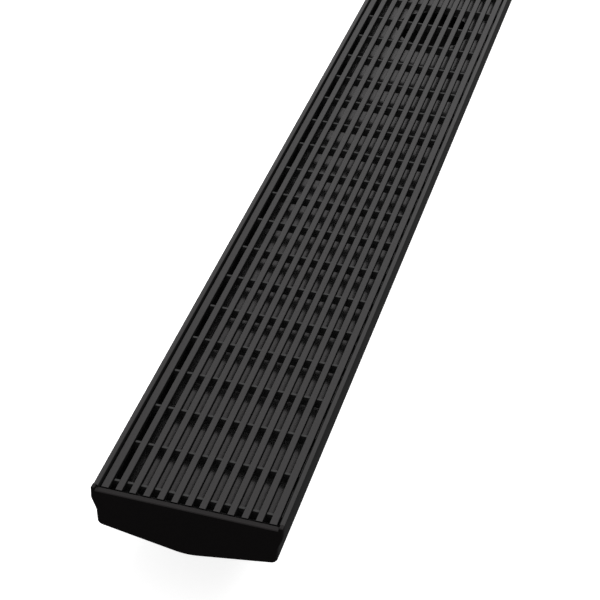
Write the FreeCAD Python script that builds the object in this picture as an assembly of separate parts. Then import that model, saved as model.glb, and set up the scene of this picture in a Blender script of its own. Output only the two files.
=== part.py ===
import FreeCAD, Part
import math
import os

# A channel drain for a shower or a threshold. A shallow aluminium channel with a V floor is closed by a
# moulded cap at each end and empties through one outlet at mid length. A heelguard grate lies in it:
# lengthwise bars pressed into notched cross rods, whose mitred ends sit on the shoulders of the walls.
#
# Millimetres. X runs across the drain, Y along it and Z up. The origin is the middle of the outlet's
# lower end. Sections are drawn in X and depth, where depth is measured down from the bar tops.

# Overall
LENGTH = 1128.0
WIDTH = 100.0
FLOOR_DEPTH = 30.9  # from the bar tops to the point where the two slopes of the floor's underside meet
OUTLET_DROP = 37.1  # from that point to the outlet's lower end

# Channel section
WALL = 2.2
RIM_RISE = 2.0
RIM_ROUND = 1.0
SHOULDER_DEPTH = 5.6
SHOULDER_HEIGHT = 7.2
SHOULDER_STEP = 2.6
SIDE_TAPER = 0.4
FLOOR_FALL = 8.6  # from the foot of a wall to the middle
SHOULDER_ROUND = 5.0
FOOT_ROUND = 3.0
VALLEY_ROUND = 33.0

# End caps
CAP_THICKNESS = 3.0
CAP_EDGE = 0.4
CAP_NOTCH_ROUND = 0.6
PLUG_THICKNESS = 2.5
PLUG_CLEARANCE = 0.2
PLUG_DEPTH = 14.0
PLUG_ROUND = 1.0

# Outlet
BORE_RADIUS = 27.0
SPIGOT_RADIUS = 30.0
SPIGOT_CHAMFER = 1.0
COLLAR_RADIUS = 33.0
COLLAR_HEIGHT = 30.0  # from the outlet's lower end to the collar that stops the waste pipe's socket

# Grate
BAR_COUNT = 13
BAR_PITCH = 7.33
BAR_WIDTH = 3.5
EDGE_BAR_WIDTH = 4.0  # the first and the last bar
BAR_HEIGHT = 3.2
BAR_TAPER = 0.2  # each side draws in by this much from the top to the foot
BAR_EDGE = 0.4
BAR_END_GAP = 1.0
ROD_COUNT = 37
ROD_PITCH = 30.6
ROD_THICKNESS = 2.0
ROD_TOP_DEPTH = 2.6
ROD_BOTTOM_DEPTH = 7.2
ROD_END_GAP = 0.2

# Worked out
BAR_TOP = FLOOR_DEPTH + OUTLET_DROP
CHANNEL_LENGTH = LENGTH - 2 * CAP_THICKNESS
BAR_LENGTH = CHANNEL_LENGTH - 2 * BAR_END_GAP
SHOULDER_SLOPE = SHOULDER_STEP / SHOULDER_HEIGHT
FOOT_DEPTH = FLOOR_DEPTH - FLOOR_FALL


def rounded_face(corners):
    """The face inside a closed outline of (x, depth, radius) corners, each rounded by a tangent arc."""
    points = [FreeCAD.Vector(x, 0, BAR_TOP - depth) for x, depth, radius in corners]
    starts, middles, ends = [], [], []
    for index, point in enumerate(points):
        back = (points[index - 1] - point).normalize()
        ahead = (points[(index + 1) % len(points)] - point).normalize()
        half_angle = back.getAngle(ahead) / 2
        radius = corners[index][2]
        starts.append(point + back * (radius / math.tan(half_angle)))
        ends.append(point + ahead * (radius / math.tan(half_angle)))
        to_centre = (back + ahead).normalize()
        middles.append(point + to_centre * (radius / math.sin(half_angle) - radius))
    edges = []
    for index in range(len(points)):
        if corners[index][2] > 0:
            edges.append(Part.Arc(starts[index], middles[index], ends[index]).toShape())
        edges.append(Part.LineSegment(ends[index], starts[(index + 1) % len(points)]).toShape())
    return Part.Face(Part.Wire(edges))


def along(face, y_start, length):
    """A face in the XZ plane drawn out along Y."""
    solid = face.extrude(FreeCAD.Vector(0, length, 0))
    solid.translate(FreeCAD.Vector(0, y_start, 0))
    return solid


def mirrored(right_side):
    """The right side's corners from the top down to the middle, with the left side's before them."""
    left_side = [(-x, depth, radius) for x, depth, radius in right_side if x > 0]
    return left_side + right_side[::-1]


def shell_corners(inset):
    """The channel's outer line from the left rim to the right one, moved inwards by inset."""
    half_width = WIDTH / 2
    waist = half_width - SHOULDER_STEP
    outer = mirrored(
        [
            (half_width, -RIM_RISE, RIM_ROUND),
            (half_width, SHOULDER_DEPTH, SHOULDER_ROUND - inset),
            (waist, SHOULDER_DEPTH + SHOULDER_HEIGHT, SHOULDER_ROUND + inset),
            (waist - SIDE_TAPER, FOOT_DEPTH, FOOT_ROUND - inset),
            (0, FLOOR_DEPTH, VALLEY_ROUND - inset),
        ]
    )
    moved = [(outer[0][0] + inset, outer[0][1], RIM_ROUND)]
    for before, here, after in zip(outer, outer[1:], outer[2:]):
        run_in = FreeCAD.Vector(here[0] - before[0], here[1] - before[1], 0).normalize()
        run_out = FreeCAD.Vector(after[0] - here[0], after[1] - here[1], 0).normalize()
        normal_in = FreeCAD.Vector(run_in.y, -run_in.x, 0)
        normal_out = FreeCAD.Vector(run_out.y, -run_out.x, 0)
        shift = (normal_in + normal_out) * (inset / (1 + normal_in.dot(normal_out)))
        moved.append((here[0] + shift.x, here[1] + shift.y, here[2]))
    moved.append((outer[-1][0] - inset, outer[-1][1], RIM_ROUND))
    return moved


def vertical_cylinder(radius, z_bottom, z_top):
    return Part.makeCylinder(radius, z_top - z_bottom, FreeCAD.Vector(0, 0, z_bottom))


def channel():
    """The extruded trough: rims, shouldered walls and V floor of one wall thickness, bored for the outlet."""
    section = rounded_face(shell_corners(0) + shell_corners(WALL)[::-1])
    trough = along(section, -CHANNEL_LENGTH / 2, CHANNEL_LENGTH)
    return trough.cut(vertical_cylinder(BORE_RADIUS, 0, BAR_TOP))


def end_cap():
    """A plate with the channel's outline, cut down to the bar tops between the rims, and a plug behind it."""
    outline = shell_corners(0)
    inner_width = WIDTH / 2 - WALL
    top_edge = [
        (inner_width, -RIM_RISE, RIM_ROUND),
        (inner_width, 0, CAP_NOTCH_ROUND),
        (-inner_width, 0, CAP_NOTCH_ROUND),
        (-inner_width, -RIM_RISE, RIM_ROUND),
    ]
    outer_y = -LENGTH / 2
    plate = along(rounded_face(outline + top_edge), outer_y, CAP_THICKNESS)
    front = [edge for edge in plate.Edges if edge.BoundBox.YMax < outer_y + CAP_EDGE]
    plate = plate.makeChamfer(CAP_EDGE, front)

    plug_line = shell_corners(WALL + PLUG_CLEARANCE)
    left_foot, middle, right_foot = plug_line[3:6]
    plug_outline = [
        (left_foot[0], PLUG_DEPTH, PLUG_ROUND),
        (left_foot[0], left_foot[1], PLUG_ROUND),
        middle,
        (right_foot[0], right_foot[1], PLUG_ROUND),
        (right_foot[0], PLUG_DEPTH, PLUG_ROUND),
    ]
    plug = along(rounded_face(plug_outline), outer_y + CAP_THICKNESS, PLUG_THICKNESS)
    return plate.fuse(plug)


def outlet_spigot():
    """A short pipe under the floor's hole, with a stop collar whose top is cut to the floor's two slopes."""
    channel_body = along(rounded_face(shell_corners(0)), -WIDTH / 2, WIDTH)
    pipe = vertical_cylinder(SPIGOT_RADIUS, 0, BAR_TOP - FOOT_DEPTH)
    end_ring = [edge for edge in pipe.Edges if edge.BoundBox.ZMax < SPIGOT_CHAMFER]
    pipe = pipe.makeChamfer(SPIGOT_CHAMFER, end_ring)
    collar = vertical_cylinder(COLLAR_RADIUS, COLLAR_HEIGHT, BAR_TOP - FOOT_DEPTH)
    whole = pipe.fuse(collar).cut(channel_body)
    return whole.cut(vertical_cylinder(BORE_RADIUS, 0, BAR_TOP))


def bars_across():
    """Each bar's middle and its width at the top, from left to right."""
    widths = [EDGE_BAR_WIDTH] + [BAR_WIDTH] * (BAR_COUNT - 2) + [EDGE_BAR_WIDTH]
    return [((index - (BAR_COUNT - 1) / 2) * BAR_PITCH, width) for index, width in enumerate(widths)]


def bar_sides(x, width, depth):
    """The left and right x of a bar's tapered sides at a depth."""
    half = width / 2 - BAR_TAPER * depth / BAR_HEIGHT
    return x - half, x + half


def grate_bar(x, width):
    """One lengthwise bar with eased upper edges and sides that draw in towards the foot."""
    left, right = bar_sides(x, width, 0)
    left_foot, right_foot = bar_sides(x, width, BAR_HEIGHT)
    section = [(left, 0, BAR_EDGE), (right, 0, BAR_EDGE)]
    section += [(right_foot, BAR_HEIGHT, 0), (left_foot, BAR_HEIGHT, 0)]
    return along(rounded_face(section), -BAR_LENGTH / 2, BAR_LENGTH)


def cross_rod(y):
    """A flat rod on edge, notched for every bar, with its ends mitred to sit on the channel's shoulders."""
    shoulder = shell_corners(WALL)[1]
    end_x = abs(shoulder[0]) - ROD_END_GAP
    mitre_top = shoulder[1] + ROD_END_GAP / SHOULDER_SLOPE
    foot_x = abs(shoulder[0]) - (ROD_BOTTOM_DEPTH - shoulder[1]) * SHOULDER_SLOPE
    outline = [(-foot_x, ROD_BOTTOM_DEPTH, 0), (-end_x, mitre_top, 0), (-end_x, ROD_TOP_DEPTH, 0)]
    for x, width in bars_across():
        left, right = bar_sides(x, width, ROD_TOP_DEPTH)
        left_foot, right_foot = bar_sides(x, width, BAR_HEIGHT)
        outline += [(left, ROD_TOP_DEPTH, 0), (left_foot, BAR_HEIGHT, 0)]
        outline += [(right_foot, BAR_HEIGHT, 0), (right, ROD_TOP_DEPTH, 0)]
    outline += [(end_x, ROD_TOP_DEPTH, 0), (end_x, mitre_top, 0), (foot_x, ROD_BOTTOM_DEPTH, 0)]
    return along(rounded_face(outline), y - ROD_THICKNESS / 2, ROD_THICKNESS)


def nodes():
    made = {"channel": channel(), "outlet_spigot": outlet_spigot()}
    front_cap = end_cap()
    made["end_cap_front"] = front_cap
    rear_cap = front_cap.copy()
    rear_cap.rotate(FreeCAD.Vector(0, 0, 0), FreeCAD.Vector(0, 0, 1), 180)
    made["end_cap_rear"] = rear_cap
    for number, (x, width) in enumerate(bars_across(), start=1):
        made[f"grate_bar_{number:02d}"] = grate_bar(x, width)
    for number in range(1, ROD_COUNT + 1):
        y = (number - (ROD_COUNT + 1) / 2) * ROD_PITCH
        made[f"cross_rod_{number:02d}"] = cross_rod(y)
    return made


os.makedirs("parts", exist_ok=True)
for name, shape in nodes().items():
    shape.exportStep(f"parts/{name}.step")
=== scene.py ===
import math

import bmesh
import bpy
from mathutils import Matrix, Vector


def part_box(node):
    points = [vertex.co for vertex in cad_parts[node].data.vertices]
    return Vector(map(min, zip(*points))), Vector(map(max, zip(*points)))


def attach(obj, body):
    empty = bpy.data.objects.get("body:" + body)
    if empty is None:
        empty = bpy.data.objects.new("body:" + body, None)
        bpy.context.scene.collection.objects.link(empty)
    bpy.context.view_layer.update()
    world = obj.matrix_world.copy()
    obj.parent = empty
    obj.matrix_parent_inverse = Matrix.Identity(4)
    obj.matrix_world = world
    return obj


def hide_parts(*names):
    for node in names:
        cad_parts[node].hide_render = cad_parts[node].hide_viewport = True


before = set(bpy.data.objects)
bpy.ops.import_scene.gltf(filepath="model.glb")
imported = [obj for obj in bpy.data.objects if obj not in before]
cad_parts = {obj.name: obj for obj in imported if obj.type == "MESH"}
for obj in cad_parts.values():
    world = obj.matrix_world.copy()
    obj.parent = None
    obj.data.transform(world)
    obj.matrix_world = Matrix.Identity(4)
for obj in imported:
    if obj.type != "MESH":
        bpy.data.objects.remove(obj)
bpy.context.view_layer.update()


# ---------------------------------------------------------------------------------------------------------
# The drain lies along Y with its near end cap towards the camera, and it is seen from above, a little from
# the right. Every place below is taken from the near cap's outer face and from the tops of the grate's bars.
# ---------------------------------------------------------------------------------------------------------
near_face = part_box("end_cap_front")[0].y
bar_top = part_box("grate_bar_01")[1].z

eye = Vector((0.2164, near_face - 0.6049, bar_top + 0.6141))
turn = math.radians(14.95)  # to the left of straight along the drain
tilt = math.radians(90 - 36.97)
roll = math.radians(1.89)
camera = bpy.data.objects.new("camera", bpy.data.cameras.new("camera"))
camera.data.lens = 107.29
camera.matrix_world = (
    Matrix.Translation(eye) @ Matrix.Rotation(turn, 4, "Z") @ Matrix.Rotation(tilt, 4, "X")
    @ Matrix.Rotation(roll, 4, "Z")
)
bpy.context.scene.collection.objects.link(camera)
bpy.context.scene.camera = camera
bpy.context.scene.view_settings.view_transform = "Standard"


# ---------------------------------------------------------------------------------------------------------
# A pale studio floor under a white surround. Both show as white to the camera and in reflections, and the
# floor keeps a soft shadow. To the light that bounces about, the floor is grey, so the undersides stay dark.
# ---------------------------------------------------------------------------------------------------------
class Wire:
    """A shader socket. Arithmetic on it adds Math nodes, and node() adds any other node to its tree."""

    def __init__(self, tree, socket=None):
        self.tree = tree
        self.socket = socket

    def node(self, kind, settings, inputs, output=0):
        """A new node with its settings, then the values or links of its inputs. Returns one output."""
        made = self.tree.nodes.new("ShaderNode" + kind)
        for name, value in settings.items():
            setattr(made, name, value)
        for name, value in inputs.items():
            if isinstance(value, Wire):
                self.tree.links.new(value.socket, made.inputs[name])
            else:
                made.inputs[name].default_value = value
        return Wire(self.tree, made.outputs[output] if len(made.outputs) else None)

    def math(self, operation, first, second):
        return self.node("Math", {"operation": operation}, {0: first, 1: second})

    def __add__(self, other):
        return self.math("ADD", self, other)

    def __radd__(self, other):
        return self.math("ADD", other, self)

    def __mul__(self, other):
        return self.math("MULTIPLY", self, other)

    def __rmul__(self, other):
        return self.math("MULTIPLY", other, self)


def blank_material(name):
    """A material with nothing in it but its output, and a wire to start from."""
    material = bpy.data.materials.new(name)
    material.use_nodes = True
    material.node_tree.nodes.clear()
    return material, Wire(material.node_tree)


def finish_with(wire, shader, kind="Material"):
    """Joins a shader to the output of its tree."""
    wire.node("Output" + kind, {}, {"Surface": shader})


def mixed(wire, share, first, second):
    """A colour between two colours."""
    settings = {"data_type": "RGBA", "clamp_factor": True}
    return wire.node("Mix", settings, {0: share, 6: first, 7: second}, output=2)


def seen_directly(wire):
    """1 for rays from the eye, through glass and off gloss, and 0 for the light that lights the object."""
    kinds = ("Camera", "Glossy", "Transmission")
    rays = [wire.node("LightPath", {}, {}, output=f"Is {kind} Ray") for kind in kinds]
    return wire.math("MINIMUM", rays[0] + rays[1] + rays[2], 1.0)


def smooth_step(wire, value, low, high):
    """0 below low, 1 above high, and a smooth rise between them."""
    settings = {"interpolation_type": "SMOOTHSTEP"}
    return wire.node("MapRange", settings, {"Value": value, "From Min": low, "From Max": high})


def noise(wire, place, scale, detail=2.0, roughness=0.5):
    inputs = {"Vector": place, "Scale": scale, "Detail": detail, "Roughness": roughness}
    return wire.node("TexNoise", {}, inputs, output="Fac")


floor_size = 8.0
floor_grey = 0.25
floor_glow = 0.75
bm = bmesh.new()
bmesh.ops.create_grid(bm, x_segments=8, y_segments=8, size=floor_size / 2)
floor_mesh = bpy.data.meshes.new("studio_floor")
bm.to_mesh(floor_mesh)
bm.free()
floor = bpy.data.objects.new("studio_floor", floor_mesh)
bpy.context.scene.collection.objects.link(floor)
floor_paint, wire = blank_material("floor_paint")
direct = seen_directly(wire)
place = wire.node("NewGeometry", {}, {}, output="Position")
mottle = noise(wire, place, 3.0)
white = (0.9, 0.9, 0.9, 1)
grey = (floor_grey, floor_grey, floor_grey, 1)
glow = (floor_glow, floor_glow, floor_glow, 1)
floor_shader = wire.node("BsdfPrincipled", {}, {
    "Base Color": mixed(wire, direct, grey, white),
    "Roughness": 0.85 + 0.1 * mottle,
    "Specular IOR Level": 0.0,
    "Emission Color": mixed(wire, direct, (0, 0, 0, 1), glow),
    "Emission Strength": 1.0,
}, output="BSDF")
finish_with(wire, floor_shader)
floor_mesh.materials.append(floor_paint)

surround = bpy.data.worlds.new("surround")
bpy.context.scene.world = surround
surround.use_nodes = True
surround.node_tree.nodes.clear()
wire = Wire(surround.node_tree)
surround_fill = 0.45
strength = surround_fill + (1 - surround_fill) * seen_directly(wire)
finish_with(wire, wire.node("Background", {}, {"Color": (1, 1, 1, 1), "Strength": strength}), "World")


def softbox(name, place, aim, size, power):
    """A square soft lamp that points at a place."""
    lamp = bpy.data.lights.new(name, "AREA")
    lamp.shape = "SQUARE"
    lamp.size = size
    lamp.energy = power
    stand = bpy.data.objects.new(name, lamp)
    stand.location = place
    stand.visible_glossy = False
    stand.rotation_euler = (Vector(aim) - Vector(place)).to_track_quat("-Z", "Y").to_euler()
    bpy.context.scene.collection.objects.link(stand)
    return stand


softbox("overhead", (0.45, 0.35, 1.9), (0, 0, bar_top), 1.6, 42)
softbox("back", (0.3, 2.2, 1.2), (0, 0, bar_top), 1.2, 14)


# ---------------------------------------------------------------------------------------------------------
# The channel: one aluminium extrusion with fully rounded rims, narrow ledges for the grate and a level floor
# over a V underside, cut to length and coated in satin black powder. Sections are drawn in millimetres
# across the drain and in depth below the bar tops.
# ---------------------------------------------------------------------------------------------------------
mm = 0.001
channel_low, channel_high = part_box("channel")
rim_half_width = channel_high.x / mm
rim_inner = 46.95
rim_rise = 1.6
rim_round = 1.5
ledge_depth = 6.4
ledge_height = 4.8
wall_inner = 45.2
level_floor_depth = 22.2
side_taper = 0.4
shoulder_depth = 5.6
shoulder_height = 7.2
shoulder_round = 5.0
waist_half_width = 47.4
foot_depth = 24.2
foot_round = 3.0
keel_depth = 30.9
keel_round = 33.0


def rounded_outline(corners, steps=6):
    """Points round a closed outline of (across, depth, radius) corners, each round drawn as an arc."""
    places = [Vector((across, -depth)) for across, depth, radius in corners]
    points = []
    for index, corner in enumerate(places):
        radius = corners[index][2]
        if radius == 0:
            points.append(corner)
            continue
        back = (places[index - 1] - corner).normalized()
        ahead = (places[(index + 1) % len(places)] - corner).normalized()
        half_angle = back.angle(ahead) / 2
        centre = corner + (back + ahead).normalized() * (radius / math.sin(half_angle))
        first = corner + back * (radius / math.tan(half_angle)) - centre
        last = corner + ahead * (radius / math.tan(half_angle)) - centre
        sweep = first.angle(last)
        for step in range(steps + 1):
            share = step / steps
            towards = first * math.sin((1 - share) * sweep) + last * math.sin(share * sweep)
            points.append(centre + towards / math.sin(sweep))
    return points


def drawn_out(name, outline, y_start, y_end):
    """A solid bar of one section along Y, smooth over its rounds and sharp at its corners."""
    bm = bmesh.new()
    ends = []
    for y in (y_start, y_end):
        ends.append([bm.verts.new((point.x * mm, y, bar_top + point.y * mm)) for point in outline])
    bm.faces.new(ends[0])
    bm.faces.new(ends[1][::-1])
    for index in range(len(outline)):
        after = (index + 1) % len(outline)
        bm.faces.new((ends[0][index], ends[1][index], ends[1][after], ends[0][after]))
    bmesh.ops.recalc_face_normals(bm, faces=bm.faces)
    bmesh.ops.triangulate(bm, faces=[face for face in bm.faces if len(face.verts) > 4])
    mesh = bpy.data.meshes.new(name)
    bm.to_mesh(mesh)
    bm.free()
    mesh.shade_smooth()
    mesh.set_sharp_from_angle(angle=math.radians(25))
    piece = bpy.data.objects.new(name, mesh)
    bpy.context.scene.collection.objects.link(piece)
    return piece


def both_sides(right_side):
    """The right side's corners from the top down, led by the left side's, mirrored."""
    left_side = [(-across, depth, radius) for across, depth, radius in right_side if across > 0]
    return left_side + right_side[::-1]


warm_gloss = (1.0, 0.95, 0.965, 1)


def powder_coat_painted_sheen(name, base, level_sheen_painted_light, upright_sheen_painted_shade, roughness, level_from=0.15, painted_highlight_lean=0.0):
    """Black powder on metal, with painted light in its gloss: more sheen on up-facing faces as a painted
    highlight, less on upright faces as painted shade.

    A face starts to count as level where its normal's upward part passes level_from. The last argument moves
    the painted highlight on a round towards +X.
    """
    material, wire = blank_material(name)
    place = wire.node("NewGeometry", {}, {}, output="Position")
    normal = wire.node("NewGeometry", {}, {}, output="Normal")
    facing_up = wire.node("SeparateXYZ", {}, {"Vector": normal}, output="Z")
    facing_right = wire.node("SeparateXYZ", {}, {"Vector": normal}, output="X")
    level = smooth_step(wire, facing_up + painted_highlight_lean * facing_right, level_from, 0.98)
    cloud = noise(wire, place, 45.0, detail=3.0)
    grain = noise(wire, place, 2600.0)
    peel = noise(wire, place, 900.0, detail=1.0)
    dark = (0.75 * base, 0.75 * base, 0.75 * base, 1)
    light = (1.35 * base, 1.35 * base, 1.35 * base, 1)
    colour = mixed(wire, 0.35 * cloud + 0.3 * grain, dark, light)
    height = 0.6 * peel + 0.4 * grain
    skin = wire.node("Bump", {}, {"Strength": 0.05, "Distance": 0.0002, "Height": height}, output="Normal")
    matte = wire.node("BsdfPrincipled", {}, {
        "Base Color": colour,
        "Roughness": 0.7,
        "Specular IOR Level": 0.0,
        "Normal": skin,
    }, output="BSDF")
    satin = wire.node("BsdfPrincipled", {}, {
        "Base Color": colour,
        "Roughness": roughness - 0.04 + 0.08 * cloud,
        "IOR": 1.5,
        "Specular Tint": warm_gloss,
        "Normal": skin,
    }, output="BSDF")
    # Painted light: the gloss share follows which way a face points, so up-facing faces take a painted sheen
    # and upright faces a painted shade.
    share = upright_sheen_painted_shade + (level_sheen_painted_light - upright_sheen_painted_shade) * level
    finish_with(wire, wire.node("MixShader", {}, {0: share, 1: matte, 2: satin}, output="Shader"))
    return material


def coat(node, material):
    """Gives a CAD piece its material in every slot it has."""
    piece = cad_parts[node]
    piece.data.materials.clear()
    piece.data.materials.append(material)


outside = both_sides([
    (rim_half_width, -rim_rise, rim_round),
    (rim_half_width, shoulder_depth, shoulder_round),
    (waist_half_width, shoulder_depth + shoulder_height, shoulder_round),
    (waist_half_width - side_taper, foot_depth, foot_round),
    (0, keel_depth, keel_round),
])
inside = both_sides([
    (rim_inner, -rim_rise, rim_round),
    (rim_inner, ledge_depth, 1.5),
    (wall_inner, ledge_depth + ledge_height, shoulder_round),
    (wall_inner - side_taper, level_floor_depth, 1.0),
])
section = rounded_outline(outside + inside[::-1])
channel = drawn_out("channel_extrusion", section, channel_low.y, channel_high.y)

bore_radius = 0.027
bm = bmesh.new()
bmesh.ops.create_cone(
    bm, cap_ends=True, segments=96, radius1=bore_radius, radius2=bore_radius, depth=2 * bar_top
)
drill_mesh = bpy.data.meshes.new("outlet_drill")
bm.to_mesh(drill_mesh)
bm.free()
drill = bpy.data.objects.new("outlet_drill", drill_mesh)
bpy.context.scene.collection.objects.link(drill)
cut = channel.modifiers.new("outlet_hole", "BOOLEAN")
cut.operation = "DIFFERENCE"
cut.object = drill
depsgraph = bpy.context.evaluated_depsgraph_get()
bored = bpy.data.meshes.new_from_object(channel.evaluated_get(depsgraph))
channel.modifiers.clear()
channel.data = bored
bpy.data.objects.remove(drill)
bored.set_sharp_from_angle(angle=math.radians(25))
# Painted highlight and shade: the steep, rightward-leaning gloss mask puts the rims' bright line on their
# right-hand rounding, and upright faces get almost no gloss, so the outer walls stay dark.
channel_black = powder_coat_painted_sheen("channel_powder", 0.011, 0.9, 0.02, 0.13, level_from=0.62, painted_highlight_lean=0.25)
bored.materials.clear()
bored.materials.append(channel_black)
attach(channel, "root")
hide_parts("channel")


# ---------------------------------------------------------------------------------------------------------
# Two end caps, moulded in black plastic with the channel's outline. Each is cut down to the bar tops between
# the rims and holds itself by a plug inside the channel. The mould left a fine even grain.
# ---------------------------------------------------------------------------------------------------------
def moulded_plastic_painted_sheen(name, colour, level_sheen_painted_light, upright_sheen_painted_shade, roughness):
    """Matte black plastic from a spark-eroded mould, with painted light in its gloss: more sheen on up-facing
    faces as a painted highlight, less on upright faces as painted shade.
    """
    material, wire = blank_material(name)
    place = wire.node("NewGeometry", {}, {}, output="Position")
    normal = wire.node("NewGeometry", {}, {}, output="Normal")
    facing_up = wire.node("SeparateXYZ", {}, {"Vector": normal}, output="Z")
    level = smooth_step(wire, facing_up, 0.2, 0.95)
    flow = noise(wire, place, 60.0)
    grain = noise(wire, place, 3500.0)
    dark = tuple(0.8 * part for part in colour) + (1,)
    light = tuple(1.25 * part for part in colour) + (1,)
    tint = mixed(wire, 0.5 * flow + 0.4 * grain, dark, light)
    skin = wire.node("Bump", {}, {"Strength": 0.15, "Distance": 0.0001, "Height": grain}, output="Normal")
    matte = wire.node("BsdfPrincipled", {}, {
        "Base Color": tint,
        "Roughness": 0.8,
        "Specular IOR Level": 0.0,
        "Normal": skin,
    }, output="BSDF")
    satin = wire.node("BsdfPrincipled", {}, {
        "Base Color": tint,
        "Roughness": roughness - 0.03 + 0.06 * flow,
        "IOR": 1.5,
        "Specular Tint": warm_gloss,
        "Normal": skin,
    }, output="BSDF")
    # Painted light: the gloss share follows which way a face points.
    share = upright_sheen_painted_shade + (level_sheen_painted_light - upright_sheen_painted_shade) * level
    finish_with(wire, wire.node("MixShader", {}, {0: share, 1: matte, 2: satin}, output="Shader"))
    return material


# Painted shade: upright faces get almost no gloss, so the caps' front faces stay black.
cap_black = moulded_plastic_painted_sheen("cap_plastic", (0.0064, 0.0057, 0.0058), 0.45, 0.02, 0.45)
for node in ("end_cap_front", "end_cap_rear"):
    coat(node, cap_black)


# ---------------------------------------------------------------------------------------------------------
# The outlet: a plastic spigot welded under the hole in the floor, with the collar that stops the waste pipe.
# ---------------------------------------------------------------------------------------------------------
# Painted sheen and shade: up-facing faces of the spigot take more gloss than its upright ones.
outlet_black = moulded_plastic_painted_sheen("outlet_plastic", (0.006, 0.006, 0.006), 0.6, 0.1, 0.4)
coat("outlet_spigot", outlet_black)


# ---------------------------------------------------------------------------------------------------------
# The grate's bars: flat aluminium strips with eased edges, coated like the channel.
# ---------------------------------------------------------------------------------------------------------
# Painted sheen and shade: the bars' tops take all the gloss, their sides under a third of it.
bar_black = powder_coat_painted_sheen("bar_powder", 0.006, 1.0, 0.3, 0.42)
bars = sorted(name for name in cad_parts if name.startswith("grate_bar_"))
for node in bars:
    coat(node, bar_black)


# ---------------------------------------------------------------------------------------------------------
# The cross rods under the bars: thin aluminium strips on edge, each notched for every bar, with mitred ends
# that sit on the channel's ledges. They are coated like the bars, with a black painted lighter as painted
# light on their shaded faces.
# ---------------------------------------------------------------------------------------------------------
rod_thickness = 1.4
rod_top_depth = 2.6
rod_bottom_depth = 8.3
rod_end_gap = 0.2
bar_taper = 0.2  # each side of a bar draws in by this much from its top to its foot
bar_height = (bar_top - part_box(bars[0])[0].z) / mm


def rod_outline():
    """A rod's outline, with a notch that fits the tapered foot of each bar."""
    ledge_slope = (rim_inner - wall_inner) / ledge_height
    end = rim_inner - rod_end_gap
    mitre_top = ledge_depth + rod_end_gap / ledge_slope
    foot = rim_inner - (rod_bottom_depth - ledge_depth) * ledge_slope
    corners = [(-foot, rod_bottom_depth), (-end, mitre_top), (-end, rod_top_depth)]
    for node in bars:
        low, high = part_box(node)
        middle = (low.x + high.x) / 2 / mm
        half_width = (high.x - low.x) / 2 / mm
        mouth = half_width - bar_taper * rod_top_depth / bar_height
        seat = half_width - bar_taper
        corners += [(middle - mouth, rod_top_depth), (middle - seat, bar_height)]
        corners += [(middle + seat, bar_height), (middle + mouth, rod_top_depth)]
    corners += [(end, rod_top_depth), (end, mitre_top), (foot, rod_bottom_depth)]
    return rounded_outline([(across, depth, 0) for across, depth in corners])


# Painted light: the rods' black is ten times lighter than the bars' and only their upright faces take gloss,
# to lighten their shaded front faces.
rod_black_painted_lighter = powder_coat_painted_sheen("rod_powder_painted_light", 0.06, 0.0, 0.12, 0.42)
notched = rod_outline()
for node in sorted(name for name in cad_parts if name.startswith("cross_rod_")):
    low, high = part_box(node)
    middle = (low.y + high.y) / 2
    half = rod_thickness / 2 * mm
    rod = drawn_out("strip_" + node, notched, middle - half, middle + half)
    rod.data.materials.append(rod_black_painted_lighter)
    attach(rod, "root")
    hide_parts(node)
